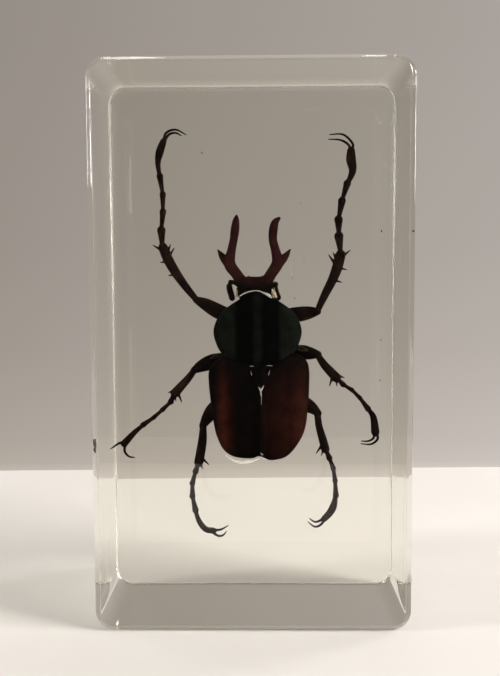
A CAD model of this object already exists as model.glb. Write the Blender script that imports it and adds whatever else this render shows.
# %% [markdown]
# # A horned flower chafer in a block of clear resin
# The real thing is a dried beetle that was set in a mould and covered with clear casting resin.
# The block was then ground square and polished. This lesson builds it round a frame: a plain solid
# model that says where each piece is. The frame never moves. The new pieces are made in the same
# place and at the same size, and each one says which frame pieces it stands for.

import math
import random

import bmesh
import bpy
from mathutils import Matrix, Vector, noise


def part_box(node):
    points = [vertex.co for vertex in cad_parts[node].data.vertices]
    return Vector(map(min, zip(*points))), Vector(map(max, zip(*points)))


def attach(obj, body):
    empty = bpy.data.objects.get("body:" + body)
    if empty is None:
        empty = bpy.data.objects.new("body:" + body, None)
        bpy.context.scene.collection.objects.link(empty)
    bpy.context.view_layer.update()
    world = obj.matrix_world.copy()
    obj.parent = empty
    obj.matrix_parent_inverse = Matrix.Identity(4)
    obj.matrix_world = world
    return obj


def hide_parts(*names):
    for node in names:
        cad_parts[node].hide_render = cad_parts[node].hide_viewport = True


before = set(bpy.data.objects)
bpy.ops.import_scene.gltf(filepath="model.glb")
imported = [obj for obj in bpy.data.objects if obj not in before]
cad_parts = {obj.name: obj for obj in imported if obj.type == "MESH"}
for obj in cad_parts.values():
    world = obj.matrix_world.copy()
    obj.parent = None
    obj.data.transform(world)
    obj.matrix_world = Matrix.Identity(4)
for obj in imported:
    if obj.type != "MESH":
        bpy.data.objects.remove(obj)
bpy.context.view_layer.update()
print("frame pieces:", len(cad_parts))

# %% [markdown]
# The beetle is small, so every size below is in millimetres, as on a ruler held against it.
# Blender's own unit is the metre. Each piece is therefore modelled in millimetres and made a
# thousand times smaller as its last step.

# %% Units
MM = 0.001
block_low = Vector(map(min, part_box("resin_front")[0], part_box("resin_back")[0])) / MM
block_high = Vector(map(max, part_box("resin_front")[1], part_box("resin_back")[1])) / MM
block_size = block_high - block_low
print("block in mm:", [round(side, 2) for side in block_size])

# %% [markdown]
# ## The studio
# A camera can be aimed by two angles and a small tilt, as on a tripod: how far it is turned to the
# side, how far it looks down, and how far it leans. From these come its three axes, which are the
# columns of its matrix. The lens is given in millimetres on a 36 mm film side.

# %% Camera
CAMERA_PLACE = Vector((1.1, -107.2, 44.8)) * MM
CAMERA_TURN = math.radians(-0.79)
CAMERA_DOWN = math.radians(4.07)
CAMERA_LEAN = math.radians(-0.27)
CAMERA_LENS = 40.28

forward = Vector((
    math.sin(CAMERA_TURN) * math.cos(CAMERA_DOWN),
    math.cos(CAMERA_TURN) * math.cos(CAMERA_DOWN),
    -math.sin(CAMERA_DOWN),
))
level = Vector((math.cos(CAMERA_TURN), -math.sin(CAMERA_TURN), 0))
upright = level.cross(forward)
right = level * math.cos(CAMERA_LEAN) + upright * math.sin(CAMERA_LEAN)
above = upright * math.cos(CAMERA_LEAN) - level * math.sin(CAMERA_LEAN)

camera = bpy.data.objects.new("camera", bpy.data.cameras.new("camera"))
camera.data.lens = CAMERA_LENS
camera.data.sensor_width = 36
camera.data.clip_start = 0.005
camera.matrix_world = Matrix((right, above, -forward)).transposed().to_4x4()
camera.location = CAMERA_PLACE
bpy.context.scene.collection.objects.link(camera)
bpy.context.scene.camera = camera
print("camera looks along:", [round(part, 3) for part in forward])

# %% [markdown]
# A material is a small tree of nodes. Every finish here starts the same way, with one shader
# joined to the output, so a helper makes that start. The others join two sockets, give a socket
# whatever it is handed, and add a node with its inputs filled by name.

# %% Helpers for materials
def new_finish(name):
    """A material with an empty tree apart from its shader and its output."""
    material = bpy.data.materials.new(name)
    material.use_nodes = True
    tree = material.node_tree
    tree.nodes.clear()
    output = tree.nodes.new("ShaderNodeOutputMaterial")
    shader = tree.nodes.new("ShaderNodeBsdfPrincipled")
    join(tree, shader.outputs["BSDF"], output.inputs["Surface"])
    return material, tree, shader, output


def join(tree, source, target):
    tree.links.new(source, target)


def feed(tree, value, socket):
    """Gives a socket another node's output, a colour of three parts, or a number."""
    if isinstance(value, bpy.types.NodeSocket):
        join(tree, value, socket)
    elif isinstance(value, tuple):
        socket.default_value = (*value, 1)
    else:
        socket.default_value = value


def add_node(tree, kind, settings=None, **inputs):
    """Adds a node, sets its own settings, then its input sockets by name."""
    node = tree.nodes.new(kind)
    for key, value in (settings or {}).items():
        setattr(node, key, value)
    for key, value in inputs.items():
        feed(tree, value, node.inputs[key.replace("_", " ")])
    return node


# %% [markdown]
# Every pattern starts from a place. Object coordinates give a point's own place in the frame, in
# metres, and they don't slide when the piece is exported. A place or a direction can be split
# into its three parts, and the parts can be added, compared and mapped like any numbers.

# %% Helpers for places and sums
def place_in_frame(tree):
    """The point's own place in the frame, in metres."""
    return tree.nodes.new("ShaderNodeTexCoord").outputs["Object"]


def parts_of(tree, source):
    """The X, Y and Z of a place or a direction."""
    return add_node(tree, "ShaderNodeSeparateXYZ", Vector=source).outputs


def math_node(tree, operation, *values):
    """A sum. Each value is a number or a socket."""
    node = add_node(tree, "ShaderNodeMath", {"operation": operation})
    for socket, value in zip(node.inputs, values):
        feed(tree, value, socket)
    return node.outputs["Value"]


def between(tree, factor, low, high, start=0.0, end=1.0):
    """A number that runs from low to high while the factor runs from start to end."""
    ranged = add_node(
        tree, "ShaderNodeMapRange", Value=factor, From_Min=start, From_Max=end, To_Min=low, To_Max=high
    )
    return ranged.outputs["Result"]


# %% [markdown]
# Noise gives a finish its uneven look. Its scale counts lumps per metre, so a lump of one
# millimetre needs a scale of 1000. A ramp turns the noise, or a place, into tones.

# %% Helpers for tones
def speckle(tree, lump_mm, detail=3.0):
    """Noise with lumps of a given size, from 0 to 1."""
    scale = 1 / (lump_mm * MM)
    place = place_in_frame(tree)
    return add_node(tree, "ShaderNodeTexNoise", Scale=scale, Detail=detail, Vector=place).outputs["Fac"]


def tone_ramp(tree, factor, stops):
    """A colour that runs through stops of (position, colour)."""
    ramp = add_node(tree, "ShaderNodeValToRGB", Fac=factor)
    for element, (position, colour) in zip(ramp.color_ramp.elements, (stops[0], stops[-1])):
        element.position = position
        element.color = (*colour, 1)
    for position, colour in stops[1:-1]:
        ramp.color_ramp.elements.new(position).color = (*colour, 1)
    return ramp.outputs["Color"]


def two_tone(tree, factor, low, high, start=0.3, end=0.7):
    """A colour that runs from low to high."""
    return tone_ramp(tree, factor, [(start, low), (end, high)])


def mixed(tree, factor, first, second, blend="MIX"):
    """The second colour laid over the first, by the factor."""
    settings = {"data_type": "RGBA", "blend_type": blend}
    mix = add_node(tree, "ShaderNodeMix", settings, Factor=factor, A=first, B=second)
    return mix.outputs["Result"]


# %% [markdown]
# The block stands on a pale shelf, and the far edge of the shelf shows behind it and through it.
# A cube with its edges bevelled makes the shelf. It lies a hair under the block, because two faces
# in exactly the same place would flicker. It ends under the camera: a longer one would be
# mirrored in the front of the block and veil the beetle.

# %% Table
TABLE_FAR_EDGE = 75
TABLE_NEAR_EDGE = -105
TABLE_TURN = math.radians(1.4)
TABLE_THICKNESS = 18
TABLE_REACH = 900
TABLE_EDGE_ROUNDING = 0.8
HAIR = 0.02


def stage_piece(form, name, finish):
    """Turns a bmesh in millimetres into a piece of the studio, which isn't part of the object."""
    bmesh.ops.scale(form, verts=form.verts, vec=(MM, MM, MM))
    mesh = bpy.data.meshes.new(name)
    form.to_mesh(mesh)
    form.free()
    mesh.materials.append(finish)
    piece = bpy.data.objects.new(name, mesh)
    bpy.context.scene.collection.objects.link(piece)


tabletop = bmesh.new()
table_depth = TABLE_FAR_EDGE - TABLE_NEAR_EDGE
bmesh.ops.create_cube(tabletop, size=1)
bmesh.ops.scale(tabletop, verts=tabletop.verts, vec=(2 * TABLE_REACH, table_depth, TABLE_THICKNESS))
bmesh.ops.translate(tabletop, verts=tabletop.verts, vec=(0, -table_depth / 2, 0))
bmesh.ops.rotate(tabletop, verts=tabletop.verts, matrix=Matrix.Rotation(TABLE_TURN, 3, "Z"))
table_drop = -HAIR - TABLE_THICKNESS / 2
bmesh.ops.translate(tabletop, verts=tabletop.verts, vec=(0, TABLE_FAR_EDGE, table_drop))
bmesh.ops.bevel(
    tabletop, geom=tabletop.edges, offset=TABLE_EDGE_ROUNDING, segments=3, profile=0.5,
    affect="EDGES", material=-1,
)

table_finish, tree, shader, output = new_finish("pale_table")
shader.inputs["Roughness"].default_value = 0.55
shader.inputs["Specular IOR Level"].default_value = 0.3
tones = two_tone(tree, speckle(tree, 40), (0.80, 0.77, 0.73), (0.84, 0.81, 0.77))
join(tree, tones, shader.inputs["Base Color"])
stage_piece(tabletop, "table", table_finish)
print("table reaches back to", TABLE_FAR_EDGE, "mm")

# %% [markdown]
# Behind the shelf is a plain wall, warm grey, brighter low down and to the right, where light falls
# on it. The block mirrors the wall in its sides and its top, so the wall has to be at a real
# distance: the mirror images look past the block from other places than the camera does. Its
# glow is given as it is, by height and by width, so that no lamp has to be aimed at it.

# %% Wall
WALL_PLACE = 300
WALL_REACH = 1300
WALL_LOWEST = -600
WALL_HIGHEST = 700
WALL_LEFT = (0.74, 0.65, 0.555)
WALL_RIGHT = (1.26, 1.15, 1.07)
WALL_TURN = 250
WALL_GLOW = [
    (-110, 0.66), (-57, 0.62), (-52, 0.53), (-39, 0.487), (9, 0.42), (63, 0.383), (178, 0.355),
]

wall_finish = bpy.data.materials.new("wall_glow")
wall_finish.use_nodes = True
tree = wall_finish.node_tree
tree.nodes.clear()
output = tree.nodes.new("ShaderNodeOutputMaterial")
glow = tree.nodes.new("ShaderNodeEmission")
join(tree, glow.outputs["Emission"], output.inputs["Surface"])
place = parts_of(tree, place_in_frame(tree))
across = between(tree, place["X"], 0, 1, -WALL_TURN * MM, WALL_TURN * MM)
join(tree, two_tone(tree, across, WALL_LEFT, WALL_RIGHT, 0, 1), glow.inputs["Color"])
glow_low, glow_high = WALL_GLOW[0][0], WALL_GLOW[-1][0]
up = between(tree, place["Z"], 0, 1, glow_low * MM, glow_high * MM)
stops = [
    ((height - glow_low) / (glow_high - glow_low), (strength, strength, strength))
    for height, strength in WALL_GLOW
]
join(tree, tone_ramp(tree, up, stops), glow.inputs["Strength"])

wall = bmesh.new()
wall_height = WALL_HIGHEST - WALL_LOWEST
upright_turn = Matrix.Rotation(math.radians(90), 4, "X")
bmesh.ops.create_grid(wall, x_segments=8, y_segments=8, size=0.5, matrix=upright_turn)
bmesh.ops.scale(wall, verts=wall.verts, vec=(2 * WALL_REACH, 1, wall_height))
bmesh.ops.translate(wall, verts=wall.verts, vec=(0, WALL_PLACE, (WALL_LOWEST + WALL_HIGHEST) / 2))
stage_piece(wall, "wall", wall_finish)

# %% [markdown]
# The rest of the room is out of sight, so the world stands for it. It is dim on the camera's own
# side. The front of the block mirrors that side, and a bright room there would lie over the
# beetle like a veil.

# %% Surrounding light
ROOM_HIGH = (0.26, 0.235, 0.205)
ROOM_LOW = (0.40, 0.365, 0.32)
ROOM_DIM = (0.03, 0.028, 0.025)
LOW_TONE_ENDS, HIGH_TONE_STARTS = -0.08, 0.45
DIM_STARTS, DIM_ENDS = 0.87, 0.95

world = bpy.data.worlds.new("room")
bpy.context.scene.world = world
world.use_nodes = True
tree = world.node_tree
tree.nodes.clear()
room_output = tree.nodes.new("ShaderNodeOutputWorld")
room_light = tree.nodes.new("ShaderNodeBackground")
direction = tree.nodes.new("ShaderNodeTexCoord")
heading = parts_of(tree, direction.outputs["Generated"])
rise = between(tree, heading["Z"], 0, 1, LOW_TONE_ENDS, HIGH_TONE_STARTS)
nearness = between(tree, heading["Y"], 0, 1, -DIM_STARTS, -DIM_ENDS)
room_tones = two_tone(tree, rise, ROOM_LOW, ROOM_HIGH, 0, 1)
join(tree, mixed(tree, nearness, room_tones, ROOM_DIM), room_light.inputs["Color"])
join(tree, room_light.outputs["Background"], room_output.inputs["Surface"])

# %% [markdown]
# Soft lamps do the rest. The window is a large one to the right and a little to the front, so the
# block's shadow falls to the left and slightly back. A ceiling lamp lights the top edge. The small
# ones only put bright glints on the block's rims.

# %% Lamps
def soft_lamp(name, place_mm, aim_mm, side_mm, power, colour):
    """A square area lamp at a place, aimed at a point."""
    lamp = bpy.data.objects.new(name, bpy.data.lights.new(name, "AREA"))
    lamp.data.shape = "SQUARE"
    lamp.data.size = side_mm * MM
    lamp.data.energy = power
    lamp.data.color = colour
    lamp.location = Vector(place_mm) * MM
    aim = Vector(aim_mm) * MM - lamp.location
    lamp.rotation_euler = aim.to_track_quat("-Z", "Y").to_euler()
    bpy.context.scene.collection.objects.link(lamp)
    return lamp


LAMPS = {
    "window": ((590, -190, 380), (0, 0, 20), 300, 5.6, (1.0, 0.972, 0.95)),
    "left_glint": ((-540, -120, 170), (0, 0, 60), 90, 1.9, (0.98, 0.98, 1.0)),
    "left_back_glint": ((-420, 200, 155), (0, 0, 60), 80, 0.35, (0.95, 0.97, 1.0)),
    "right_glint": ((410, 190, 165), (0, 0, 60), 130, 0.9, (1.0, 1.0, 1.0)),
    "ceiling": ((0, 190, 760), (0, 0, 60), 260, 0.22, (1.0, 0.96, 0.88)),
    "spot_left": ((-132, 190, 755), (0, 0, 60), 60, 0.06, (1.0, 0.97, 0.88)),
    "spot_right": ((116, 190, 755), (0, 0, 60), 22, 0.012, (1.0, 0.97, 0.9)),
}
for name, (place, aim, side, power, colour) in LAMPS.items():
    soft_lamp(name, place, aim, side, power, colour)
bpy.context.scene.view_settings.view_transform = "Standard"
print("lamps:", ", ".join(LAMPS))

# %% [markdown]
# ## Finishing a piece
# Each piece is built in a bmesh in millimetres. To finish it, doubled points are merged, faces are
# turned to point outwards, and the mesh is scaled to metres. Legs and the head are made of several
# closed forms that run into one another. There a remesh wraps one skin round all of them, and a
# light smoothing takes the steps off, as on a real joint where one shell grows into the next.

# %% Finish a piece
def finish_piece(form, name, finish, stands_for=(), wrap_mm=0.0, smoothing=0):
    """Turns a bmesh in millimetres into a finished object that rides with the block."""
    bmesh.ops.remove_doubles(form, verts=form.verts, dist=1e-4)
    bmesh.ops.recalc_face_normals(form, faces=form.faces)
    mesh = bpy.data.meshes.new(name)
    form.to_mesh(mesh)
    form.free()
    piece = bpy.data.objects.new(name, mesh)
    bpy.context.scene.collection.objects.link(piece)
    if wrap_mm:
        wrap = piece.modifiers.new("wrap", "REMESH")
        wrap.mode = "VOXEL"
        wrap.voxel_size = wrap_mm
    if smoothing:
        soften = piece.modifiers.new("soften", "SMOOTH")
        soften.factor = 0.5
        soften.iterations = smoothing
    if piece.modifiers:
        bpy.context.view_layer.update()
        shaped = piece.evaluated_get(bpy.context.evaluated_depsgraph_get())
        piece.data = bpy.data.meshes.new_from_object(shaped)
        piece.modifiers.clear()
    piece.data.transform(Matrix.Scale(MM, 4))
    piece.data.shade_smooth()
    piece.data.materials.clear()
    piece.data.materials.append(finish)
    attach(piece, "root")
    if stands_for:
        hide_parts(*stands_for)
    print(name, "has", len(piece.data.polygons), "faces")
    return piece


# %% [markdown]
# ## The resin block
# Casting resin bends light as much as common glass, and has a faint warm tint that deepens along
# the long way through it. The shader does the bending. The tint is a volume that absorbs a little
# light on the way: its colour and its density are set on the volume's own sockets.

# %% Clear resin finish
RESIN_BENDING = 1.49
RESIN_TINT = (0.655, 0.62, 0.385)
RESIN_TINT_DENSITY = 11

resin_finish, tree, shader, output = new_finish("clear_resin")
shader.inputs["Base Color"].default_value = (1, 1, 1, 1)
shader.inputs["Transmission Weight"].default_value = 1
shader.inputs["IOR"].default_value = RESIN_BENDING
tint = tree.nodes.new("ShaderNodeVolumeAbsorption")
tint.inputs["Color"].default_value = (*RESIN_TINT, 1)
tint.inputs["Density"].default_value = RESIN_TINT_DENSITY
join(tree, tint.outputs["Volume"], output.inputs["Volume"])

# %% [markdown]
# The rim of the back was only ground, so it is dull, and duller where it is steeper. The shader
# finds it by how far the surface leans from both flat faces, and by its depth. The two long sides
# have dull streaks, where the block was handled. They are noise, drawn out along the height.

# %% Dull rim and streaks
RIM_ROUGHNESS = 0.6
RIM_DULLEST_AT = 0.3
STREAK_WIDTH = 3
STREAK_STRETCH = 0.1
STREAK_ROUGHNESS = 0.25
STREAKS_START, STREAKS_END = 0.42, 0.7
SIDE_FACING = 0.98
POLISH_PATCH = 6
POLISH_ROUGHNESS = 0.01

facing = parts_of(tree, tree.nodes.new("ShaderNodeNewGeometry").outputs["Normal"])
depth = parts_of(tree, place_in_frame(tree))["Y"]
slant = math_node(tree, "PINGPONG", facing["Y"], 0.5)
steepness = between(tree, slant, 0, RIM_ROUGHNESS, 0, RIM_DULLEST_AT)
rim = math_node(tree, "MULTIPLY", steepness, math_node(tree, "GREATER_THAN", depth, 0))

drawn_out = add_node(tree, "ShaderNodeVectorMath", {"operation": "MULTIPLY"})
join(tree, place_in_frame(tree), drawn_out.inputs[0])
drawn_out.inputs[1].default_value = (1, 1, STREAK_STRETCH)
streaks = add_node(
    tree, "ShaderNodeTexNoise", Scale=1 / (STREAK_WIDTH * MM), Detail=4, Vector=drawn_out.outputs[0]
)
smear = between(tree, streaks.outputs["Fac"], 0, STREAK_ROUGHNESS, STREAKS_START, STREAKS_END)
sideways = math_node(tree, "ABSOLUTE", facing["X"])
side = math_node(tree, "MULTIPLY", smear, math_node(tree, "GREATER_THAN", sideways, SIDE_FACING))
polish = between(tree, speckle(tree, POLISH_PATCH), 0, POLISH_ROUGHNESS)
dull = math_node(tree, "ADD", rim, math_node(tree, "ADD", side, polish))
join(tree, dull, shader.inputs["Roughness"])

# %% [markdown]
# The block itself is a cube stretched to size. Its four corners, as seen from the front, get a wide
# bevel of many segments. The front edge gets a flat chamfer, and then the chamfer's own two edges
# are softened, which is why each side of the block shows two bright lines. The back edge gets a
# small round.

# %% Resin block
CORNER_RADIUS = 2.4
FRONT_CHAMFER = 0.75
CHAMFER_SOFTNESS = 0.22
BACK_ROUNDING = 0.35
CLOSE = 0.001

block = bmesh.new()
bmesh.ops.create_cube(block, size=1)
bmesh.ops.scale(block, verts=block.verts, vec=block_size)
bmesh.ops.translate(block, verts=block.verts, vec=(block_low + block_high) / 2)


def runs_along(edge, axis):
    """True if an edge is parallel to an axis, 0 for X, 1 for Y and 2 for Z."""
    along = edge.verts[1].co - edge.verts[0].co
    return abs(along[axis]) > 0.99 * along.length


def edges_at(depth):
    """The edges that lie at one depth."""
    return [edge for edge in block.edges if all(abs(v.co.y - depth) < CLOSE for v in edge.verts)]


def soften(edges, width, steps):
    """Bevels some of the block's edges."""
    bmesh.ops.bevel(
        block, geom=edges, offset=width, segments=steps, profile=0.5, affect="EDGES", material=-1
    )


soften([edge for edge in block.edges if runs_along(edge, 1)], CORNER_RADIUS, 14)
soften(edges_at(block_low.y), FRONT_CHAMFER, 1)
soften(edges_at(block_low.y) + edges_at(block_low.y + FRONT_CHAMFER), CHAMFER_SOFTNESS, 3)
soften(edges_at(block_high.y), BACK_ROUNDING, 8)

# %% [markdown]
# The back's round isn't even: it was ground by hand, shallow, and wider at the top than at the
# base. Each of its points is moved along the way out from the middle of the back, until the rim
# is as wide as it should be at that height. The big flat faces have to stay optically flat, so a
# weighted normal modifier keeps the shading of the bevels from bending them.

# %% Widen the back rim towards the top
RIM_AT_BASE, RIM_AT_TOP = 0.4, 1.4

core_low = block_low + Vector((CORNER_RADIUS, 0, CORNER_RADIUS))
core_high = block_high - Vector((CORNER_RADIUS, 0, CORNER_RADIUS))
for vertex in block.verts:
    if vertex.co.y > block_high.y - BACK_ROUNDING + CLOSE:
        core = Vector((
            min(max(vertex.co.x, core_low.x), core_high.x), vertex.co.y,
            min(max(vertex.co.z, core_low.z), core_high.z),
        ))
        outward = (vertex.co - core).normalized()
        outline = core + outward * CORNER_RADIUS
        rise = (vertex.co.z - block_low.z) / block_size.z
        rim_width = RIM_AT_BASE + (RIM_AT_TOP - RIM_AT_BASE) * rise
        vertex.co = outline + (vertex.co - outline) * rim_width / BACK_ROUNDING
resin_block = finish_piece(
    block, "resin_block", resin_finish, ("resin_front", "resin_back")
)
flatness = resin_block.modifiers.new("keep_faces_flat", "WEIGHTED_NORMAL")
flatness.weight = 100

# %% [markdown]
# ## Cuticle
# A beetle's shell is cuticle, a hard layered skin. In air it shines, but resin bends light nearly as
# much as cuticle does, so a beetle cast in it hardly shines at all. Its shader is given the small
# step in bending between the two, not the large one from air. Fine pits and a slow change of tone
# keep it from looking like plastic.

# %% Cuticle finish
CUTICLE_STEP = 1.015
TONE_PATCH = 1.6
WEAR_PATCH = 0.5
WEAR_SMOOTHER, WEAR_ROUGHER = 0.06, 0.08
PIT_REACH = 0.3
PIT_STRENGTH = 0.2


def cuticle(name, dark, light, roughness, pit_mm, pit_depth_mm):
    """A cuticle finish that wanders between two tones and has fine pits."""
    material, tree, shader, output = new_finish(name)
    shader.inputs["IOR"].default_value = CUTICLE_STEP
    tones = two_tone(tree, speckle(tree, TONE_PATCH, 4), dark, light)
    join(tree, tones, shader.inputs["Base Color"])
    wear = speckle(tree, WEAR_PATCH)
    wear = between(tree, wear, roughness - WEAR_SMOOTHER, roughness + WEAR_ROUGHER)
    join(tree, wear, shader.inputs["Roughness"])
    pits = add_node(
        tree, "ShaderNodeTexVoronoi", Scale=1 / (pit_mm * MM), Vector=place_in_frame(tree)
    )
    hollow = between(tree, pits.outputs["Distance"], 0, 1, 0, PIT_REACH)
    relief = add_node(
        tree, "ShaderNodeBump", Strength=PIT_STRENGTH, Distance=pit_depth_mm * MM, Height=hollow
    )
    join(tree, relief.outputs["Normal"], shader.inputs["Normal"])
    return material, tree, shader, tones


leg_finish = cuticle("leg_cuticle", (0.013, 0.008, 0.007), (0.030, 0.016, 0.013), 0.36, 0.18, 0.02)[0]
belly_finish = cuticle(
    "belly_cuticle", (0.012, 0.010, 0.008), (0.030, 0.020, 0.014), 0.34, 0.22, 0.02
)[0]

# %% [markdown]
# ## Limbs
# Horns, feelers, legs, spines and claws are all tapering rods. Each is given by hand as a short
# chain of stations: a place and a width. A smooth curve through the stations is found first. Then
# a circle is set at each step of it, and neighbouring circles are bridged. Rounded ends are a few
# more circles that shrink like the end of a ball.

# %% A smooth curve through stations
def curve_point(before, start, end, after, t):
    """The point at t from 0 to 1 between start and end, on a curve through all four."""
    bend = (2 * start - 2 * end + (end - before) / 2 + (after - start) / 2) * t**3
    swing = (3 * (end - start) - (end - before) - (after - start) / 2) * t**2
    return start + (end - before) / 2 * t + swing + bend


def smooth_run(stations, steps):
    """Points on a curve that passes through every station, for stations of any length."""
    points = [Vector(station) for station in stations]
    if len(points) < 3:
        return [points[0].lerp(points[-1], step / steps) for step in range(steps + 1)]
    padded = [2 * points[0] - points[1], *points, 2 * points[-1] - points[-2]]
    run = []
    for four in zip(padded, padded[1:], padded[2:], padded[3:]):
        run += [curve_point(*four, step / steps) for step in range(steps)]
    run.append(points[-1])
    return run


# %% [markdown]
# The chains give widths as seen from the front. Insect limbs are flatter than they are wide, so
# each circle is squeezed along its third direction.

# %% A limb
THROUGH = Vector((0, 1, 0))


def add_ring(form, centre, along, wide, thick, sides):
    """One oval ring across a direction. Returns its edges."""
    across = along.cross(THROUGH).normalized()
    over = across.cross(along).normalized()
    turn = Matrix((across, over, along.normalized())).transposed().to_4x4()
    place = Matrix.Translation(centre) @ turn @ Matrix.Diagonal((wide / 2, thick / 2, 1, 1))
    ring = bmesh.ops.create_circle(form, segments=sides, radius=1, matrix=place)["verts"]
    return list({edge for vertex in ring for edge in vertex.link_edges})


CAP_TURNS = (0.5, 1.0, 1.4)


def add_limb(form, stations, flatness=0.85, sides=14, steps=4):
    """A closed rod through stations (x, y, z, width), with round ends."""
    run = smooth_run(stations, steps)
    rings = []
    for i, station in enumerate(run):
        along = run[min(i + 1, len(run) - 1)].xyz - run[max(i - 1, 0)].xyz
        rings.append((station.xyz, along, station.w))
    caps = []
    for place, along, width in (rings[0], rings[-1]):
        outward = along.normalized() * (-1 if place == rings[0][0] else 1)
        caps.append([
            (place + outward * width / 2 * math.sin(turn), along, width * math.cos(turn))
            for turn in CAP_TURNS
        ])
    rings = caps[0][::-1] + rings + caps[1]
    loops = [add_ring(form, place, along, w, w * flatness, sides) for place, along, w in rings]
    for near, far in zip(loops, loops[1:]):
        bmesh.ops.bridge_loops(form, edges=near + far)
    for end in (loops[0], loops[-1]):
        bmesh.ops.contextual_create(form, geom=end)


# %% [markdown]
# ## Body plates
# The pronotum, the wing covers, the head and the belly are all domed plates with an uneven outline.
# Each starts as a ball with its poles front and back. Its equator is then drawn out to an
# outline that was measured by hand, and its two halves are flattened or raised. The outline is
# half a margin from front to rear, mirrored about the midline.

# %% A margin
def closed_margin(midline, left, right_side=None):
    """A closed outline from half outlines of (distance from the midline, z, y)."""
    right_side = right_side or left
    loop = [(midline - x, y, z) for x, z, y in left]
    loop += [(midline + x, y, z) for x, z, y in reversed(right_side)]
    loop = [p for p, q in zip(loop, loop[-1:] + loop) if (Vector(p) - Vector(q)).length > 1e-6]
    return [Vector(p) for p in loop]


def margin_point(margin, share):
    """The point at a share from 0 to 1 of the way round a margin."""
    position = (share % 1) * len(margin)
    i = int(position)
    return curve_point(*(margin[(i + k) % len(margin)] for k in (-1, 0, 1, 2)), position - i)


# %% [markdown]
# The ball's poles point along its own Z. A point's height there says how far up the dome it is, and
# its turn says which way out it lies. Plates can also carry relief, as a function of the place.

# %% A domed plate
def domed_plate(margin, centre, crown, belly, bluntness, around=96, rings=48, relief=None):
    """A ball drawn out to a margin. The crown rises towards -Y and the belly towards +Y."""
    form = bmesh.new()
    bmesh.ops.create_uvsphere(form, u_segments=around, v_segments=rings, radius=1)
    middle = Vector(centre)
    for vertex in form.verts:
        height = vertex.co.z
        reach = math.sqrt(max(0.0, 1 - height * height))
        share = math.atan2(vertex.co.y, vertex.co.x) / (2 * math.pi)
        edge = margin_point(margin, share)
        place = middle.lerp(edge, reach)
        rise = abs(height) ** bluntness
        place.y += -crown * rise if height > 0 else belly * rise
        if relief:
            place.y += relief(place, reach, height)
        vertex.co = place
    return form


def hump(distance, width):
    """A smooth bump of height 1 at distance 0."""
    return math.exp(-((distance / width) ** 2))


# %% [markdown]
# ## The head and its horns
# The male carries two horns that grow out of the front of the head, each with a side tooth
# halfway up. Between them the head's front edge is a shallow bow. The head is a small domed
# plate, the horns are limbs that run out of it, and a remesh makes one shell of all of them.

# %% Head sizes
HEAD_MIDLINE = 0.45
HEAD_MARGIN = [
    (0, 45.8, -2.9), (1.4, 45.8, -2.9), (2.15, 45.4, -2.9), (2.3, 44.6, -2.6),
    (2.35, 43.8, -2.4), (2.2, 43, -2.4), (1.6, 42.2, -2.6), (0, 41.8, -2.8),
]
HORNS = [
    [
        (-1.2, -2.8, 44.9, 1.7), (-2.1, -3, 46.2, 1.5), (-2.95, -3.2, 47.5, 1.6),
        (-2.7, -3.5, 49.2, 1.2), (-2.4, -3.7, 50.6, 1.1), (-2.2, -3.9, 52, 1.2),
        (-2.05, -4, 53.2, 0.9), (-1.98, -4.1, 53.75, 0.4),
    ],
    [(-3.05, -3.2, 47.4, 1.3), (-3.85, -3.2, 48.4, 1), (-4.5, -3.2, 49.35, 0.25)],
    [
        (1.8, -2.8, 44.9, 1.7), (2.6, -3, 46.2, 1.5), (3.4, -3.2, 47.6, 1.6), (3.15, -3.5, 49.2, 1.25),
        (2.8, -3.7, 50.6, 1.15), (2.85, -3.9, 51.9, 1.2), (3.1, -4, 52.9, 1), (3.6, -4.1, 53.4, 0.5),
    ],
    [(3.5, -3.2, 47.4, 1.3), (4.4, -3.2, 48.4, 1), (5.1, -3.2, 49.35, 0.25)],
]
HORN_FLATNESS = 0.62

# %% [markdown]
# The horns are dark red-brown and the head behind them is nearly black. The finish goes from one
# to the other by height along the body.

# %% Head finish
HEAD_DARK_BELOW, HORN_RED_ABOVE = 44.2, 46.8
HEAD_TONE = (0.009, 0.006, 0.005)

horn_finish, tree, shader, horn_tones = cuticle(
    "horn_cuticle", (0.026, 0.009, 0.010), (0.052, 0.017, 0.017), 0.38, 0.16, 0.02
)
place = parts_of(tree, place_in_frame(tree))
redness = between(tree, place["Z"], 0, 1, HEAD_DARK_BELOW * MM, HORN_RED_ABOVE * MM)
join(tree, mixed(tree, redness, HEAD_TONE, horn_tones), shader.inputs["Base Color"])

# %% [markdown]
# Between the horns the head is hollowed a little, as if pressed with a thumb. The two palps, with
# which the beetle tastes, are short jointed rods under the front of the head.

# %% Head and horns
BROW_DEPTH = 0.5
BROW_Z = 45.3
BROW_WIDTH, BROW_HEIGHT = 1.1, 0.8
PALP_OFFSET = 0.9
PALP_ELBOW = 0.3


def brow(place, reach, height):
    """A hollow between the horns, seen from above."""
    across = hump(place.x - HEAD_MIDLINE, BROW_WIDTH)
    return BROW_DEPTH * across * hump(place.z - BROW_Z, BROW_HEIGHT) if height > 0 else 0


head_form = domed_plate(
    closed_margin(HEAD_MIDLINE, HEAD_MARGIN), (0.45, -2.6, 43.8), 1.5, 1.7, 0.75, 48, 24, brow
)
for horn in HORNS:
    add_limb(head_form, horn, HORN_FLATNESS)
for side in (-1, 1):
    palp_x = HEAD_MIDLINE + side * PALP_OFFSET
    elbow_x = palp_x + side * PALP_ELBOW
    add_limb(head_form, [(palp_x, -1.2, 44.2, 0.5), (elbow_x, -0.7, 45, 0.3)], 1)
    add_limb(head_form, [(elbow_x, -0.7, 45, 0.28), (palp_x, -0.8, 45.8, 0.34)], 1)
finish_piece(head_form, "head_and_horns", horn_finish, ("head",), 0.07, 4)

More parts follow.
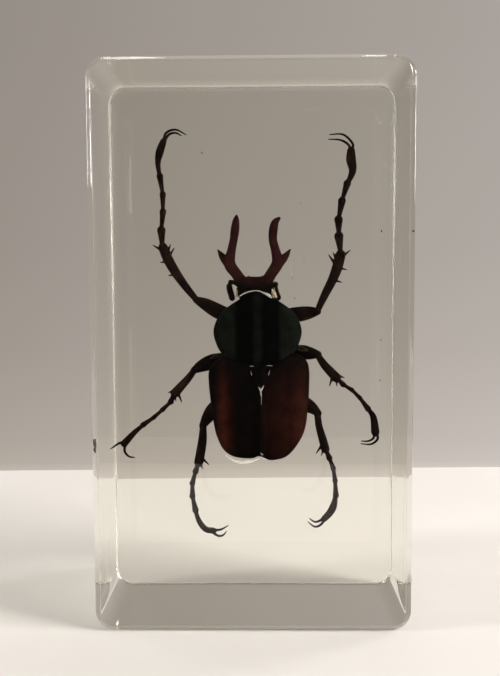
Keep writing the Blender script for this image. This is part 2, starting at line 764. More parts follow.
# %% [markdown]
# The eyes bulge at the sides of the head, and are made of very many tiny lenses. A ball that is
# pressed flatter, with a fine cell pattern as relief, is enough at this size.

# %% Eyes
EYE_RADIUS = 0.8
EYE_OFFSET = 1.85
EYE_STRETCH = (0.9, 1, 1.05, 1)

eye_finish = cuticle("eye_facets", (0.006, 0.005, 0.004), (0.016, 0.011, 0.008), 0.22, 0.05, 0.01)[0]
eyes = bmesh.new()
for side in (-1, 1):
    centre = Matrix.Translation((HEAD_MIDLINE + side * EYE_OFFSET, -2.2, 43.9))
    eye_shape = centre @ Matrix.Diagonal(EYE_STRETCH)
    bmesh.ops.create_icosphere(eyes, subdivisions=4, radius=EYE_RADIUS, matrix=eye_shape)
finish_piece(eyes, "eyes", eye_finish)

# %% [markdown]
# Each feeler has a long first joint, a row of beads, and a club of three thin leaves that lie
# together like a closed fan. That club is the mark of the scarab family.

# %% Feelers
FEELERS = {
    "left_antenna": {
        "first": [(-1.6, -1.9, 44.5, 0.65), (-2.3, -1.7, 45.0, 0.6), (-2.9, -1.5, 45.1, 0.65)],
        "rest": [(-3.0, -1.5, 44.95, 0.6), (-3.05, -1.3, 44.3, 0.75), (-2.7, -1.2, 42.95, 0.75)],
    },
    "right_antenna": {
        "first": [(2.1, -1.9, 44.1, 0.55), (2.75, -1.7, 44.65, 0.85), (3.15, -1.5, 44.75, 0.8)],
        "rest": [(3.2, -1.5, 44.6, 0.3), (3.35, -1.2, 43.8, 0.5), (3.45, -1.1, 43.0, 0.85)],
    },
}
BEAD_SIZE = (0.24, 0.22, 0.17, 1)
LEAF_GAP = 0.13
LEAF_WIDENING = 1.15


def feeler(name, chains):
    """The first joint, then beads along half of the rest, then the club of leaves."""
    form = bmesh.new()
    add_limb(form, chains["first"], 0.9)
    run = smooth_run(chains["rest"], 6)
    for bead in run[:5]:
        ball = Matrix.Translation(bead.xyz) @ Matrix.Diagonal(BEAD_SIZE)
        bmesh.ops.create_icosphere(form, subdivisions=3, radius=1, matrix=ball)
    for leaf in (-1, 0, 1):
        shift = leaf * LEAF_GAP
        shifted = [(x, y + shift, z, LEAF_WIDENING * width) for x, y, z, width in run[4:]]
        add_limb(form, shifted, 0.22, steps=2)
    finish_piece(form, name + "_detail", leg_finish, (name,), 0.045, 1)


for name, chains in FEELERS.items():
    feeler(name, chains)

# %% [markdown]
# ## The pronotum
# The pronotum is the shield behind the head. It is greenish black, with two blacker bands that run
# lengthwise and a fine raised rim round its edge. The rim is real relief: just inside the margin
# the surface dips and rises again.

# %% Pronotum shape
PRONOTUM_MIDLINE = 0.72
PRONOTUM_CENTRE = (0.72, -3.2, 38.2)
PRONOTUM_MARGIN = [
    (0, 43.9, -3.9), (2.75, 42.6, -3.3), (4.7, 41.15, -2.7), (5.6, 39.8, -2.4),
    (5.93, 38.45, -2.4), (5.7, 37.2, -2.5), (5.05, 35.85, -3), (4, 34.95, -3.8),
    (2.7, 34.5, -4.7), (0, 34, -5.4),
]
RIM_GROOVE_DEPTH, RIM_GROOVE_REACH, RIM_GROOVE_WIDTH = 0.14, 0.955, 0.012
FURROW_DEPTH, FURROW_Z = 0.05, 37
DIMPLE_DEPTH, DIMPLE_FINENESS = 0.03, 0.9

pronotum_margin = closed_margin(PRONOTUM_MIDLINE, PRONOTUM_MARGIN)


def rim_and_dimples(place, reach, height):
    """A groove inside the rim, a faint midline furrow and slight unevenness."""
    if height <= 0:
        return 0
    groove = RIM_GROOVE_DEPTH * hump(reach - RIM_GROOVE_REACH, RIM_GROOVE_WIDTH)
    furrow = FURROW_DEPTH * hump(place.x - PRONOTUM_MIDLINE, 0.25) * hump(place.z - FURROW_Z, 3)
    return groove + furrow + DIMPLE_DEPTH * noise.noise(place * DIMPLE_FINENESS)


pronotum_form = domed_plate(
    pronotum_margin, PRONOTUM_CENTRE, 2.7, 4.6, 0.75, 160, 120, rim_and_dimples
)

# %% [markdown]
# The two dark bands are colour only. The finish works out how far a point is from the midline of
# each band, in metres, and darkens it there. Adding noise to that distance makes the edges of the
# bands uneven.

# %% Pronotum finish
BAND_PLACES = (-1.0, 2.45)
BAND_HALF_WIDTH = 1.2
BAND_SOFTNESS = 0.25
BAND_WANDER, BAND_WANDER_PATCH = 0.25, 1.5
BAND_STRENGTH = 0.97
BAND_TONE = (0.001, 0.0016, 0.0013)

shield_finish, tree, shader, colour = cuticle(
    "shield_cuticle", (0.005, 0.0063, 0.0048), (0.011, 0.013, 0.0098), 0.3, 0.14, 0.015
)
wander = between(tree, speckle(tree, BAND_WANDER_PATCH), -BAND_WANDER * MM, BAND_WANDER * MM)
shaken = math_node(tree, "ADD", parts_of(tree, place_in_frame(tree))["X"], wander)
full_until = (1 - BAND_SOFTNESS) * BAND_HALF_WIDTH * MM
gone_at = (1 + BAND_SOFTNESS) * BAND_HALF_WIDTH * MM
for band in BAND_PLACES:
    distance = math_node(tree, "ABSOLUTE", math_node(tree, "SUBTRACT", shaken, band * MM))
    inside = between(tree, distance, BAND_STRENGTH, 0, full_until, gone_at)
    colour = mixed(tree, inside, colour, BAND_TONE)
join(tree, colour, shader.inputs["Base Color"])
finish_piece(pronotum_form, "pronotum_shield", shield_finish, ("pronotum",))

# %% [markdown]
# ## The wing covers
# Two hardened front wings cover the beetle's back. They meet in a straight seam. Each has a bump
# at its shoulder and another near its end, and faint ribs that run lengthwise. Both are cut from
# one dome: the front half of a ball, drawn out to the outline and split along the seam. Their
# front ends tuck under the pronotum, and under the small plate between them.

# %% Wing cover shape
SEAM_X = 1.12
COVER_CENTRE = (1, -2.5, 28.5)
COVER_CROWN = 3.3
COVER_THICKNESS = 0.4
LEFT_COVER_MARGIN = [
    (0, 36.5, -5), (4.4, 35.5, -3.6), (6.2, 34.3, -2.7), (7, 33.1, -2), (7.02, 31.2, -1.8),
    (6.85, 29.4, -1.7), (6.6, 27.2, -1.7), (6.35, 25.7, -1.8), (6, 24.3, -2), (5.2, 22.6, -2.2),
    (4.1, 21.7, -2.4), (2.8, 21.35, -2.5), (1.2, 21.3, -2.6), (0.3, 21.6, -2.7),
]
RIGHT_COVER_MARGIN = [
    (0, 36.5, -5), (4.4, 35.6, -3.6), (6.1, 34.6, -2.7), (6.55, 33.1, -2), (6.55, 31.2, -1.8),
    (6.5, 29.4, -1.7), (6.3, 27.2, -1.7), (6.1, 25.7, -1.8), (5.6, 24.2, -2), (4.5, 22.5, -2.2),
    (3.4, 21.5, -2.4), (2.2, 21.1, -2.5), (1.2, 21.05, -2.6), (0.3, 21.4, -2.7),
]
SCUTELLUM_CORNERS = [(-0.28, 34.6), (2.52, 34.6), (1.12, 31.6)]

cover_margin = closed_margin(SEAM_X, LEFT_COVER_MARGIN, RIGHT_COVER_MARGIN)

# %% [markdown]
# The covers have to pass under two neighbours. For any point, the nearest direction on the
# pronotum's outline says whether the point is inside it, and then the cover drops. Under the small
# plate it drops by an even step.

# %% Room for the neighbours
OUTLINE_STEPS = 120
DROP_STARTS, DROP_SLOPE = 1.03, 9
PLATE_DROP, PLATE_MARGIN = 0.35, 0.1
plate_tip_z = SCUTELLUM_CORNERS[2][1]
plate_half_width = SEAM_X - SCUTELLUM_CORNERS[0][0]
plate_length = SCUTELLUM_CORNERS[0][1] - plate_tip_z


def flat_offset(point, centre):
    """Where a point lies from a centre, seen from the front."""
    return Vector((point.x - centre[0], point.z - centre[2]))


pronotum_outline = [
    flat_offset(margin_point(pronotum_margin, step / OUTLINE_STEPS), PRONOTUM_CENTRE)
    for step in range(OUTLINE_STEPS)
]
pronotum_directions = [offset.normalized() for offset in pronotum_outline]


def under_pronotum(place):
    """How far a point of the covers has to drop to pass under the pronotum."""
    away = flat_offset(place, PRONOTUM_CENTRE)
    closeness = [direction.dot(away) for direction in pronotum_directions]
    outline = pronotum_outline[closeness.index(max(closeness))]
    return DROP_SLOPE * max(0, DROP_STARTS - away.length / outline.length)


def under_scutellum(place):
    """How far a point of the covers drops to make room for the small plate."""
    up = place.z - plate_tip_z
    half_width = plate_half_width * up / plate_length + PLATE_MARGIN
    return PLATE_DROP if up > 0 and abs(place.x - SEAM_X) < half_width else 0


# %% [markdown]
# The relief of a cover is a sum of soft bumps. Each is given by its height, how far it lies from
# the seam, how far it spreads that way, where it lies along the body, and its spread that way.

# %% Relief of the covers
SHOULDER = (0.45, 5, 0.9, 32.8, 1.6)
END_BUMP = (0.35, 3.6, 0.9, 22.9, 0.9)
RIBS = [(0.07, 2.1, 0.3, 28, 5), (0.07, 3.9, 0.3, 28, 5)]
SEAM_RIDGE = (0.12, 0.25, 0.22)
SEAM_GROOVE = (0.12, 0.75, 0.3)


def cover_relief(place, reach, height):
    """Shoulder bumps, end bumps, a raised seam and faint ribs."""
    side = abs(place.x - SEAM_X)
    raised = SEAM_RIDGE[0] * hump(side - SEAM_RIDGE[1], SEAM_RIDGE[2])
    raised -= SEAM_GROOVE[0] * hump(side - SEAM_GROOVE[1], SEAM_GROOVE[2])
    for rise, out, spread, z, length in (SHOULDER, END_BUMP, *RIBS):
        raised += rise * hump(side - out, spread) * hump(place.z - z, length)
    return under_pronotum(place) + under_scutellum(place) - raised * min(1, 3 * abs(height))


# %% [markdown]
# Each cover is the dome cut off at the seam, with its belly side taken away and a wall of even
# thickness given to what is left. The cut leaves a hair's width between the two covers.

# %% Wing covers
COVER_BELLY = 0.4
COVER_BLUNTNESS = 0.6
BELLY_FACING, BELLY_BEHIND = 0.2, -3
SEAM_GAP = 0.06


def wing_cover(name, side, finish):
    """Keeps one side of the dome and gives it a wall."""
    form = domed_plate(
        cover_margin, COVER_CENTRE, COVER_CROWN, COVER_BELLY, COVER_BLUNTNESS, 144, 72, cover_relief
    )
    seam = Vector((SEAM_X + side * SEAM_GAP / 2, 0, COVER_CENTRE[2]))
    everything = form.verts[:] + form.edges[:] + form.faces[:]
    bmesh.ops.bisect_plane(
        form, geom=everything, plane_co=seam, plane_no=(side, 0, 0), clear_inner=True
    )
    belly = [
        face for face in form.faces
        if face.normal.y > BELLY_FACING and face.calc_center_median().y > BELLY_BEHIND
    ]
    bmesh.ops.delete(form, geom=belly, context="FACES")
    bmesh.ops.recalc_face_normals(form, faces=form.faces)
    outside = [face for face in form.faces if face.normal.y < 0]
    if len(outside) < len(form.faces) / 2:
        bmesh.ops.reverse_faces(form, faces=form.faces)
    bmesh.ops.solidify(form, geom=form.faces, thickness=COVER_THICKNESS)
    return finish_piece(form, name + "_cover", finish, (name,))


# %% [markdown]
# The covers are a deep red-brown. The left one is black along its inner half, with a red stripe
# near its outer side, and the right one is red all over, brightest towards its outer edge. So the
# finish reads how far out from the seam a point is, and runs that through a ramp of tones.

# %% Wing cover finish
LEFT_TONES = [
    (0.0, (0.004, 0.003, 0.0025)), (0.46, (0.007, 0.004, 0.003)), (0.6, (0.022, 0.006, 0.004)),
    (0.72, (0.062, 0.015, 0.009)), (0.82, (0.040, 0.011, 0.007)), (0.9, (0.012, 0.006, 0.005)),
    (1.0, (0.008, 0.005, 0.004)),
]
RIGHT_TONES = [
    (0.0, (0.014, 0.005, 0.004)), (0.3, (0.024, 0.007, 0.005)), (0.6, (0.034, 0.009, 0.006)),
    (0.8, (0.054, 0.015, 0.010)), (0.92, (0.034, 0.011, 0.008)), (1.0, (0.014, 0.006, 0.004)),
]
COVER_HALF_WIDTH = 6.8
SHOULDER_TONE = (0.004, 0.003, 0.003)
SHOULDER_DARK_ABOVE, SHOULDER_DARK_GONE = 34.5, 28.5
SHOULDER_LEAST_RED = 0.12


def cover_finish(name, side, tones):
    """Cuticle with tones that run outwards from the seam, darker at the shoulders."""
    material, tree, shader, grain = cuticle(name, (0.5, 0.5, 0.5), (1, 1, 1), 0.4, 0.2, 0.02)
    place = parts_of(tree, place_in_frame(tree))
    far = SEAM_X + side * COVER_HALF_WIDTH
    outwards = between(tree, place["X"], 0, 1, SEAM_X * MM, far * MM)
    mottled = mixed(tree, 1, tone_ramp(tree, outwards, tones), grain, "MULTIPLY")
    shade = between(
        tree, place["Z"], SHOULDER_LEAST_RED, 1, SHOULDER_DARK_ABOVE * MM, SHOULDER_DARK_GONE * MM
    )
    join(tree, mixed(tree, shade, SHOULDER_TONE, mottled), shader.inputs["Base Color"])
    return material


wing_cover("left_elytron", -1, cover_finish("left_cover_cuticle", -1, LEFT_TONES))
wing_cover("right_elytron", 1, cover_finish("right_cover_cuticle", 1, RIGHT_TONES))

# %% [markdown]
# ## The scutellum
# The small three-cornered plate between the wing covers starts as a flat triangle of three points.
# Its edges are subdivided and bowed out a little, it is extruded to a plate, and its top falls
# away towards its sides.

# %% Scutellum
SCUTELLUM_TOP = -6.6
SCUTELLUM_THICKNESS = 0.9
SCUTELLUM_BOW = 0.1
SCUTELLUM_FALL, SCUTELLUM_FALL_WIDTH = 0.2, 0.4

plate = bmesh.new()
corners = [Vector((x, SCUTELLUM_TOP + SCUTELLUM_THICKNESS, z)) for x, z in SCUTELLUM_CORNERS]
plate.faces.new([plate.verts.new(corner) for corner in corners])
bmesh.ops.subdivide_edges(plate, edges=plate.edges[:], cuts=7)
plate_middle = sum(corners, Vector()) / 3
for vertex in plate.verts:
    nearest = min((vertex.co - corner).length for corner in corners)
    vertex.co += (vertex.co - plate_middle).normalized() * SCUTELLUM_BOW * min(1, nearest)
lifted = bmesh.ops.extrude_face_region(plate, geom=plate.faces[:])["geom"]
top_points = [part for part in lifted if isinstance(part, bmesh.types.BMVert)]
sides = list(zip(corners, corners[1:] + corners[:1]))
for vertex in top_points:
    to_side = min(
        (vertex.co - start).cross((end - start).normalized()).length for start, end in sides
    )
    kept = SCUTELLUM_FALL * min(1, to_side / SCUTELLUM_FALL_WIDTH)
    vertex.co.y -= SCUTELLUM_THICKNESS - SCUTELLUM_FALL + kept
finish_piece(plate, "scutellum_plate", shield_finish, ("scutellum",))

# %% [markdown]
# ## The underside
# Seen from behind, the beetle shows its hind thorax, a broad plate with a furrow down its middle,
# and its belly, which has a groove between each ring and the next. The hips of the legs are
# hidden in its sides. The grooves are relief on a fine ball.

# %% Underside sizes
UNDERSIDE_MIDLINE = 0.95
UNDERSIDE_MARGIN = [
    (0, 35.6, -0.7), (3.4, 35.4, -0.7), (5.2, 34.6, -0.8), (5.9, 33, -0.8), (5.9, 30, -0.8),
    (5.6, 26.6, -0.9), (4.9, 24, -1), (3.4, 22.3, -1.1), (1.6, 21.6, -1.2), (0, 21.4, -1.2),
]
RING_GROOVES = (28.6, 27.1, 25.7, 24.4, 23.2, 22.2)
RING_BOW = 0.06
RING_DEPTH, RING_WIDTH = 0.28, 0.16
THORAX_END_Z, THORAX_END_DEPTH, THORAX_END_WIDTH = 29.9, 0.3, 0.2
FURROW_TOP_Z, THORAX_FURROW_DEPTH = 32.2, 0.25

# %% [markdown]
# The grooves between the rings bow towards the tail at the sides, so their places are shifted by
# the square of the distance from the midline.

# %% Underside
def belly_rings(place, reach, height):
    """Grooves between the belly's rings and a furrow down the hind thorax."""
    if height >= 0:
        return 0
    side = place.x - UNDERSIDE_MIDLINE
    bowed = place.z - RING_BOW * side ** 2
    dip = sum(RING_DEPTH * hump(bowed - groove, RING_WIDTH) for groove in RING_GROOVES)
    dip += THORAX_FURROW_DEPTH * hump(side, 0.2) * hump(place.z - FURROW_TOP_Z, 1.8)
    dip += THORAX_END_DEPTH * hump(bowed - THORAX_END_Z, THORAX_END_WIDTH)
    return -dip * min(1, 2.5 * abs(height))


underside_form = domed_plate(
    closed_margin(UNDERSIDE_MIDLINE, UNDERSIDE_MARGIN), (UNDERSIDE_MIDLINE, -0.7, 29),
    2.2, 3.9, 0.75, 180, 140, belly_rings,
)
finish_piece(underside_form, "underside_plates", belly_finish, ("underside",))

# %% [markdown]
# ## The legs
# A beetle's leg is a thick thigh, a shin with spines at its far end, and a foot of five small
# joints that end in two claws. Each foot joint is narrow where it starts and flares to its end.
# The six legs were measured one by one, because each was set in its own pose. The numbers are
# x, z and width, and the depth runs evenly from the hip to the knee to the ankle.

# %% Leg sizes
HIP_Y = 2.6
KNEE_Y = -0.3
ANKLE_Y = -0.7
CLAW_Y = -0.4
CLAW_SPREAD = 0.45
JOINT_NECK = 0.5
SPINE_WIDTH = 0.5
SPINE_TIP = 0.16
FLARE_STARTS, FLARE_NARROWER = 0.72, 0.8
CLAW_WIDTHS = (0.42, 0.38, 0.3, 0.16)
LEGS = {
    "front_left_leg": {
        "femur": [
            (-0.4, 38.8, 1.7), (-2.7, 40.2, 1.9), (-4.7, 41.1, 2.1), (-6.4, 42.1, 1.7), (-7.6, 42.7, 1),
        ],
        "tibia": [
            (-7.4, 42.5, 0.8), (-9.1, 44.6, 1.1), (-10.4, 46.5, 1.3), (-11.4, 48.3, 1.4),
            (-12, 49.8, 1.3),
        ],
        "tarsus": [
            (-12.1, 49.7, 0), (-12.2, 52.1, 1.2), (-11.95, 54.6, 0.95), (-11.95, 56.9, 0.9),
            (-12.3, 59.3, 0.95),
        ],
        "last": [(-12.3, 59.2, 0.55), (-12.55, 61, 0.75), (-12.3, 62.5, 1.1), (-11.8, 63.9, 0.9)],
        "claws": [
            [(-11.8, 63.8), (-11.4, 65), (-10.1, 65.4), (-8.7, 64.7)],
            [(-11.7, 63.8), (-11.1, 64.8), (-10.2, 65.1), (-9.4, 64.7)],
        ],
        "spines": [
            [(-10.2, 46.2), (-11.3, 46)], [(-11.2, 47.9), (-12.4, 47.8)],
            [(-12, 49.3), (-13.35, 50.1)], [(-11.4, 49), (-11, 50.2)],
            [(-11.2, 48.6), (-10.5, 49.7)],
        ],
    },
    "front_right_leg": {
        "femur": [
            (1.9, 38.8, 1.7), (4.4, 40.3, 1.9), (6.4, 40.65, 2.1), (7.9, 40.9, 1.7), (8.9, 41.05, 1),
        ],
        "tibia": [
            (8.8, 41, 0.8), (9.8, 43.2, 1.1), (10.9, 45.4, 1.3), (11.5, 47, 1.45),
            (11.95, 48.7, 1.4),
        ],
        "tarsus": [
            (11.95, 48.7, 0), (11.7, 51.2, 1.3), (11.65, 53.4, 1.2), (12.1, 55.9, 1.1),
            (12.8, 58.2, 1.05),
        ],
        "last": [(12.8, 58.1, 0.6), (13.5, 59.8, 1), (13.3, 61.3, 1.35), (13.3, 62.5, 1.1)],
        "claws": [
            [(13.35, 62.4), (13.5, 63.4), (12.2, 64.6), (10.4, 64.6)],
            [(13.2, 62.4), (13, 63.3), (11.9, 64), (10.3, 64.1)],
        ],
        "spines": [
            [(11, 45.3), (12.1, 45)], [(11.5, 47), (12.75, 46.7)], [(12, 48.3), (13.25, 49.3)],
            [(11.4, 47.9), (10.95, 49)], [(11.1, 47.6), (10.35, 48.7)],
        ],
    },
    "middle_left_leg": {
        "femur": [
            (-0.6, 33.6, 1.7), (-3.2, 34.2, 1.9), (-5.2, 34.2, 2.2), (-6.8, 33.7, 1.8), (-8, 33.1, 1),
        ],
        "tibia": [(-7.8, 33.3, 0.8), (-8.7, 32.1, 1), (-9.6, 31.1, 1.15), (-10.6, 30, 1.3)],
        "tarsus": [
            (-10.7, 30, 0), (-11.2, 28.8, 0.9), (-12.35, 27.7, 0.75), (-13.6, 26.6, 0.7),
            (-15.05, 25.6, 0.85),
        ],
        "last": [(-15, 25.6, 0.5), (-16.2, 24.6, 0.75), (-17.7, 23, 1.05)],
        "claws": [
            [(-17.6, 23.1), (-18.3, 23.1), (-18.9, 22.75), (-19.55, 22.3)],
            [(-17.5, 23), (-17.7, 21.9), (-17.1, 21.1), (-16.3, 21)],
        ],
        "spines": [
            [(-10.3, 30.6), (-11.5, 30.05)], [(-10.2, 30), (-9.7, 28.75)],
            [(-10.7, 30.2), (-10.5, 28.9)],
        ],
    },
    "middle_right_leg": {
        "femur": [(2.6, 33.8, 1.7), (4.9, 35, 1.9), (6.7, 35.4, 2.1), (8, 35.3, 1.7), (9, 35.2, 1)],
        "tibia": [(8.8, 35.3, 0.8), (9.7, 33.9, 1.1), (10.6, 32.9, 1.25), (11.4, 32.05, 1.35)],
        "tarsus": [
            (11.4, 32.1, 0), (12.35, 31.1, 0.85), (13.55, 30.35, 0.7), (14.65, 29.25, 0.7),
            (15.75, 27.75, 0.9),
        ],
        "last": [(15.7, 27.8, 0.5), (16.5, 26.6, 0.9), (16.8, 24.5, 1.2)],
        "claws": [
            [(16.9, 24.6), (17.1, 23.6), (16.2, 22.9), (14.8, 22.95)],
            [(16.6, 24.6), (16.6, 23.7), (15.9, 23.2), (14.9, 23.2)],
        ],
        "spines": [
            [(11.3, 32.6), (12.5, 32)], [(10.9, 32.2), (10.5, 30.9)], [(11.4, 32.2), (11.5, 30.9)],
        ],
    },
    "hind_left_leg": {
        "femur": [
            (-1.4, 29.8, 1.9), (-3.6, 28.8, 2.1), (-5.3, 27.6, 2.1), (-6.2, 26.5, 1.7), (-6.9, 25.4, 1),
        ],
        "tibia": [(-6.8, 25.6, 0.9), (-6.9, 23.6, 1.2), (-7.15, 21.9, 1.3), (-7.45, 20.4, 1.3)],
        "tarsus": [
            (-7.4, 20.5, 0), (-7.9, 19.1, 0.9), (-8.35, 17.45, 0.85), (-8.35, 15.65, 0.9),
            (-7.95, 13.7, 0.95),
        ],
        "last": [(-8, 13.8, 0.5), (-7.5, 12.2, 0.75), (-6.6, 11, 0.85), (-5.5, 10.75, 0.9)],
        "claws": [
            [(-5.7, 10.6), (-4.9, 10.1), (-4.2, 10.2), (-3.7, 10.75)],
            [(-5.7, 10.9), (-4.9, 10.8), (-4.3, 10.9), (-3.45, 11.4)],
        ],
        "spines": [[(-7.1, 21.1), (-6.05, 20.05)], [(-7.3, 20.8), (-6.95, 19.5)]],
    },
    "hind_right_leg": {
        "femur": [
            (3.3, 29.8, 1.9), (5.4, 29, 2.1), (7.1, 28.3, 2.1), (8.1, 27.8, 1.7), (9, 27.1, 1),
        ],
        "tibia": [(8.85, 27.2, 0.9), (9.1, 25.3, 1), (9.6, 23.5, 1.15), (9.95, 22.2, 1.2)],
        "tarsus": [
            (9.95, 22.3, 0), (10.5, 20.95, 0.9), (11.05, 19.5, 0.8), (11.3, 17.75, 0.8),
            (11.4, 15.75, 0.9),
        ],
        "last": [(11.4, 15.9, 0.5), (11.1, 14.3, 1), (10.6, 13.3, 1), (9.8, 12.4, 0.9)],
        "claws": [
            [(10, 12.6), (9.4, 11.7), (8.5, 11.4), (7.55, 12.1)],
            [(9.9, 12.7), (9.2, 12.1), (8.5, 11.9), (7.8, 12.4)],
        ],
        "spines": [[(9.5, 22.8), (8.7, 21.6)], [(9.8, 22.7), (9.4, 21.3)]],
    },
}

# %% [markdown]
# One function builds any leg. It sets out the thigh, the shin and the last foot joint as limbs,
# then the four short joints, the spines and the two claws, which spread apart in depth. The thigh
# starts inside the body, so the hip needs no form of its own.

# %% One leg
def at_depth(points, from_y, to_y):
    """Adds a depth to points (x, z, width)."""
    last = len(points) - 1
    return [
        (x, from_y + (to_y - from_y) * i / last, z, width) for i, (x, z, width) in enumerate(points)
    ]


def build_leg(name, shape):
    """Thigh, shin, foot joints, spines and claws, wrapped in one skin."""
    form = bmesh.new()
    add_limb(form, at_depth(shape["femur"], HIP_Y, KNEE_Y), 0.8, 18)
    add_limb(form, at_depth(shape["tibia"], KNEE_Y, ANKLE_Y), 0.8, 16)
    add_limb(form, at_depth(shape["last"], ANKLE_Y, CLAW_Y), 0.8, 14)
    joints = at_depth(shape["tarsus"], ANKLE_Y, ANKLE_Y)
    for (x, y, z, _), joint in zip(joints, joints[1:]):
        flare = Vector((x, y, z)).lerp(Vector(joint[:3]), FLARE_STARTS)
        joint_run = [(x, y, z, JOINT_NECK), (*flare, FLARE_NARROWER * joint[3]), joint]
        add_limb(form, joint_run, 0.8, 12, 3)
    for base, tip in shape["spines"]:
        spine = [(*base, SPINE_WIDTH), (*tip, SPINE_TIP)]
        add_limb(form, at_depth(spine, ANKLE_Y, ANKLE_Y), 1, 8, 3)
    for spread, claw in zip((-CLAW_SPREAD, CLAW_SPREAD), shape["claws"]):
        hook = [
            (x, CLAW_Y + spread * min(1, step / 2), z, width)
            for step, ((x, z), width) in enumerate(zip(claw, CLAW_WIDTHS))
        ]
        add_limb(form, hook, 1, 8)
    finish_piece(form, name + "_jointed", leg_finish, (name,), 0.065, 3)


for name, shape in LEGS.items():
    build_leg(name, shape)

# %% [markdown]
# ## Air against the beetle
# Resin doesn't wet every part of a dry beetle, and leaves thin films of air along some edges. Light
# turns back from them, so they look like bright silver lines. Each is a flat sliver of a limb that
# lies on the edge it follows.

# %% Air film finish
film_finish, tree, shader, output = new_finish("air_film")
shader.inputs["Metallic"].default_value = 0.1
tones = two_tone(tree, speckle(tree, 0.3), (0.72, 0.71, 0.67), (0.98, 0.97, 0.93))
join(tree, tones, shader.inputs["Base Color"])
join(tree, between(tree, speckle(tree, 0.12), 0.15, 0.35), shader.inputs["Roughness"])

# %% [markdown]
# The films follow these edges: the front of the pronotum, the outer edges of both covers, the seam,
# the corners of the small plate, and a thigh. Each station is a place and a width.

# %% Air films
AIR_FILMS = [
    [
        (-1.64, -4.5, 43.2, 0.1), (-1.18, -4.6, 43.5, 0.14), (-0.51, -4.7, 43.78, 0.14),
        (0.28, -4.7, 43.93, 0.1),
    ],
    [(0.28, -4.7, 43.95, 0.1), (0.94, -4.7, 43.9, 0.1), (1.33, -4.7, 43.78, 0.1)],
    [
        (1.33, -4.7, 43.72, 0.12), (1.86, -4.6, 43.5, 0.32), (2.3, -4.5, 43.25, 0.42),
        (2.6, -4.4, 42.9, 0.1),
    ],
    [(-5.62, -2.8, 33.2, 0.08), (-5.35, -3.4, 32.4, 0.12), (-5.1, -3.8, 31.5, 0.05)],
    [(7.42, -2.8, 33.1, 0.08), (7.25, -3.4, 32.3, 0.12), (7.0, -3.8, 31.5, 0.05)],
    [(0.82, -6.6, 31.35, 0.04), (0.98, -6.65, 31.05, 0.11), (1.12, -6.65, 30.7, 0.1)],
    [(1.5, -6.6, 31.5, 0.05), (1.33, -6.65, 31.1, 0.12), (1.16, -6.65, 30.8, 0.14)],
    [(1.16, -6.6, 31.25, 0.04), (1.14, -6.7, 30.6, 0.16), (1.2, -6.65, 30.1, 0.07)],
    [(1.2, -6.6, 30.2, 0.05), (1.19, -6.6, 29.0, 0.02)],
    [(1.1, -5.6, 22.4, 0.05), (1.25, -5.5, 22.2, 0.14), (1.4, -5.4, 22.15, 0.05)],
    [(-0.3, -6.6, 34.1, 0.03), (0, -6.7, 34.08, 0.05), (0.25, -6.7, 34.1, 0.02)],
    [(1.9, -6.7, 34.15, 0.02), (2.3, -6.7, 34.15, 0.06), (2.7, -6.6, 34.1, 0.03)],
    [(-0.2, -6.6, 33.4, 0.03), (-0.05, -6.6, 32.9, 0.05)],
    [(2.3, -6.6, 33.5, 0.03), (2.15, -6.6, 32.9, 0.06)],
    [(3.02, -5.75, 35.55, 0.04), (3.15, -5.75, 35.5, 0.16), (3.28, -5.75, 35.45, 0.04)],
    [(5.1, -4.6, 35.3, 0.05), (5.7, -4.2, 35.2, 0.1), (6.2, -3.6, 35.15, 0.05)],
    [(5.6, -0.6, 34.85, 0.04), (6.2, -0.6, 34.98, 0.08), (6.9, -0.6, 34.8, 0.04)],
]
films = bmesh.new()
for film in AIR_FILMS:
    add_limb(films, film, 0.5, 8)
finish_piece(films, "air_films", film_finish)

# %% [markdown]
# Below the ends of the wing covers lies a wider pocket of air, shaped like a thin new moon. It is
# a limb too, but broad in the middle and pointed at both ends. Air this thick turns all the light
# back, so its finish adds a faint glow to the tone of the films.

# %% Air pocket
POCKET_GLOW = 0.34

pocket_finish, tree, shader, output = new_finish("air_pocket")
shader.inputs["Base Color"].default_value = (0.95, 0.93, 0.86, 1)
shader.inputs["Roughness"].default_value = 0.3
shader.inputs["Emission Color"].default_value = (1.0, 0.95, 0.84, 1)
shader.inputs["Emission Strength"].default_value = POCKET_GLOW
pocket = bmesh.new()
add_limb(pocket, [
    (-3.6, -3.6, 21.75, 0.07), (-2.8, -3.6, 21.2, 0.24), (-1.7, -3.6, 20.85, 0.42),
    (-0.4, -3.6, 20.93, 0.38), (0.95, -3.6, 21.3, 0.1),
], 0.5, 12)
add_limb(pocket, [
    (1.25, -3.3, 21.5, 0.2), (1.8, -3.3, 21.28, 0.25), (2.9, -3.3, 21.1, 0.16),
    (4.0, -3.3, 21.35, 0.08),
], 0.5, 10)
finish_piece(pocket, "air_pocket", pocket_finish)

# %% [markdown]
# Beside each eye sits a small cream spot, a tuft of short pale hairs that is matted together. The
# right one catches the light and the left one is half hidden.

# %% Cream tufts
tuft_finish, tree, shader, output = new_finish("pale_tuft")
shader.inputs["Roughness"].default_value = 0.7
tones = two_tone(tree, speckle(tree, 0.12), (0.60, 0.50, 0.28), (1.0, 0.92, 0.66))
join(tree, tones, shader.inputs["Base Color"])
tufts = bmesh.new()
add_limb(tufts, [(-2.05, -2.9, 43.95, 0.25), (-2.1, -2.9, 43.5, 0.4), (-2.0, -2.8, 43.1, 0.2)], 0.6, 10)
add_limb(tufts, [(2.7, -3.1, 44.0, 0.35), (2.9, -3.1, 43.55, 0.6), (3.2, -3, 43.1, 0.3)], 0.6, 10)
finish_piece(tufts, "pale_tufts", tuft_finish)

# %% [markdown]
# The middle thighs each carry a paler patch close to the body, where soft joint skin shows. It is
# olive and slightly see-through on the real insect.

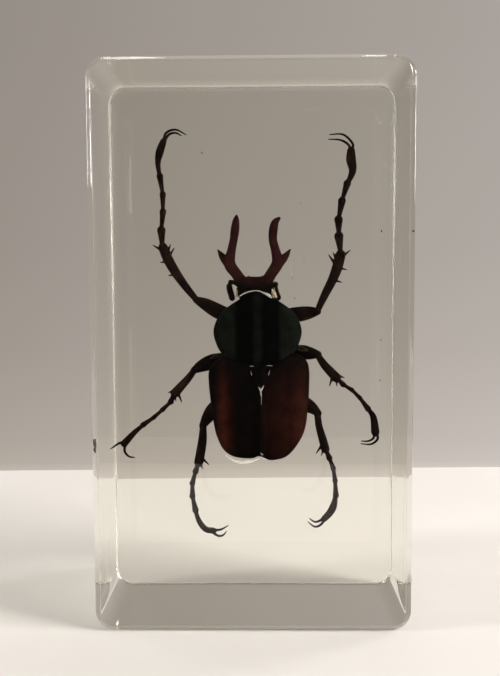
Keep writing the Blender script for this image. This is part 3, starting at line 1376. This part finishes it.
# %% Joint skin
skin_finish, tree, shader, output = new_finish("joint_skin")
shader.inputs["IOR"].default_value = CUTICLE_STEP
shader.inputs["Roughness"].default_value = 0.5
mottle = speckle(tree, 0.35, 4)
tones = two_tone(tree, mottle, (0.028, 0.025, 0.015), (0.125, 0.112, 0.072), 0.35, 0.7)
join(tree, tones, shader.inputs["Base Color"])
skin = bmesh.new()
add_limb(skin, [(-5.6, -0.05, 34.75, 0.3), (-4.9, 0.05, 35.05, 0.6), (-4.2, 0.2, 35.2, 0.5)], 0.4, 12)
add_limb(skin, [(6.0, 0.1, 36.05, 0.4), (6.8, -0.05, 35.95, 0.7), (7.5, -0.15, 35.7, 0.3)], 0.4, 12)
finish_piece(skin, "joint_skin_patches", skin_finish)

# %% [markdown]
# ## Flaws in the resin
# A few specks of dust hang in the resin. They are balls pulled out of round by a random stretch.
# The random numbers start from a fixed seed, so the specks come out the same each time.

# %% Specks
random.seed(7)
SPECKS = [
    (-6.5, -3, 62.1), (5.7, -3, 42.9), (6.5, -4, 55.4),
    (17.2, -3, 37.3), (17.2, -2, 31.8), (17.6, 1, 51.9),
]
SPECK_SMALLEST, SPECK_LARGEST = 0.06, 0.16

speck_finish, tree, shader, output = new_finish("dust_speck")
shader.inputs["Roughness"].default_value = 0.8
tones = two_tone(tree, speckle(tree, 0.1), (0.02, 0.017, 0.013), (0.10, 0.08, 0.06))
join(tree, tones, shader.inputs["Base Color"])
specks = bmesh.new()
for place in SPECKS:
    stretch = [random.uniform(SPECK_SMALLEST, SPECK_LARGEST) for _ in range(3)]
    shape = Matrix.Translation(place) @ Matrix.Diagonal((*stretch, 1))
    bmesh.ops.create_icosphere(specks, subdivisions=2, radius=1, matrix=shape)
finish_piece(specks, "dust_specks", speck_finish)

# %% [markdown]
# Beside the right horn are two short pale marks, most likely a hair of trapped air. They are limbs
# as thin as a thread.

# %% Scratch
scratch = bmesh.new()
add_limb(scratch, [(5.0, -5, 47.1, 0.03), (5.15, -5, 46.3, 0.05), (5.3, -5, 45.35, 0.12)], 0.4, 8)
add_limb(scratch, [(6.6, -5, 47.6, 0.03), (7.1, -5, 48.1, 0.04)], 0.4, 8)
finish_piece(scratch, "resin_scratch", film_finish)
